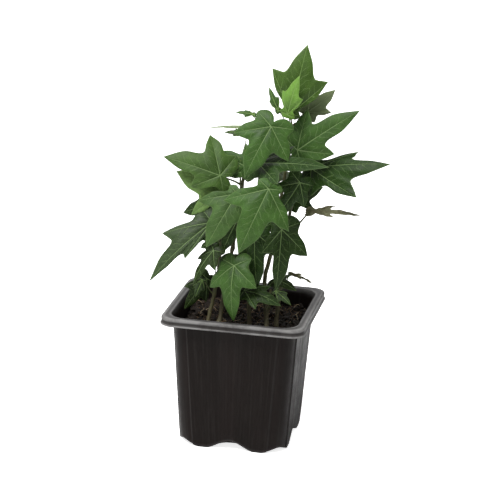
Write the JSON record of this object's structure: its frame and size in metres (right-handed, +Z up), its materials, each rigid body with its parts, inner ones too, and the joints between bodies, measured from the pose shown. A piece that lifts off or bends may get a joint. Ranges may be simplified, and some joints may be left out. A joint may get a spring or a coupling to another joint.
{
  "type": "potted ivy",
  "caption": "Young ivy with lobed leaves on upright shoots, standing in soil in a square thin-walled nursery pot with a turned-down rim.",
  "frame": {"origin": "middle of the pot's underside, on the surface that the pot stands on", "axes": "+Z up the plant; -Y out of the pot's front wall; +X to the right seen from the front"},
  "size_m": [0.1571, 0.1, 0.2769],
  "materials": {
    "pot": "satin black moulded plastic",
    "soil": "damp fibrous peat",
    "shoot": "green-brown young bark",
    "leaf": "satin leaf with pale veins",
    "leaf_young": "satin fresh leaf with pale veins",
    "leaf_withered": "matt dried leaf"
  },
  "bodies": {
    "root": {"pot": "pot", "soil": "soil", "shoot_main": "shoot", "shoot_left": "shoot", "shoot_front": "shoot", "shoot_right": "shoot", "shoot_low_left": "shoot", "shoot_low_right": "shoot", "leaf_top": "leaf_young", "leaf_folded": "leaf_young", "leaf_bract": "leaf_young", "leaf_upright": "leaf", "leaf_right_upper": "leaf", "leaf_back_top": "leaf", "leaf_back_middle": "leaf", "leaf_back_low": "leaf", "leaf_front_upper": "leaf", "leaf_point_right": "leaf", "leaf_front": "leaf", "leaf_front_left": "leaf", "leaf_hanging_front": "leaf", "leaf_right": "leaf", "leaf_reddish": "leaf", "leaf_right_shade": "leaf", "leaf_withered": "leaf_withered", "leaf_hanging_right": "leaf", "leaf_low_right": "leaf", "leaf_low_withered": "leaf_withered", "leaf_back_right": "leaf", "leaf_back_foot_right": "leaf", "leaf_wall": "leaf", "leaf_left": "leaf", "leaf_spotted": "leaf", "leaf_left_low": "leaf", "leaf_left_edge": "leaf", "leaf_left_curl": "leaf_young", "leaf_spike": "leaf_young", "leaf_shade_upper": "leaf", "leaf_front_low": "leaf", "leaf_back_left": "leaf", "leaf_back_low_left": "leaf", "leaf_back_foot": "leaf", "leaf_left_shade": "leaf", "leaf_left_long": "leaf", "leaf_left_dark": "leaf", "leaf_shade_lower": "leaf", "leaf_left_pale": "leaf", "leaf_wall_small": "leaf_young", "leaf_low_right_small": "leaf_young", "leaf_low_front": "leaf"}
  },
  "joints": []
}
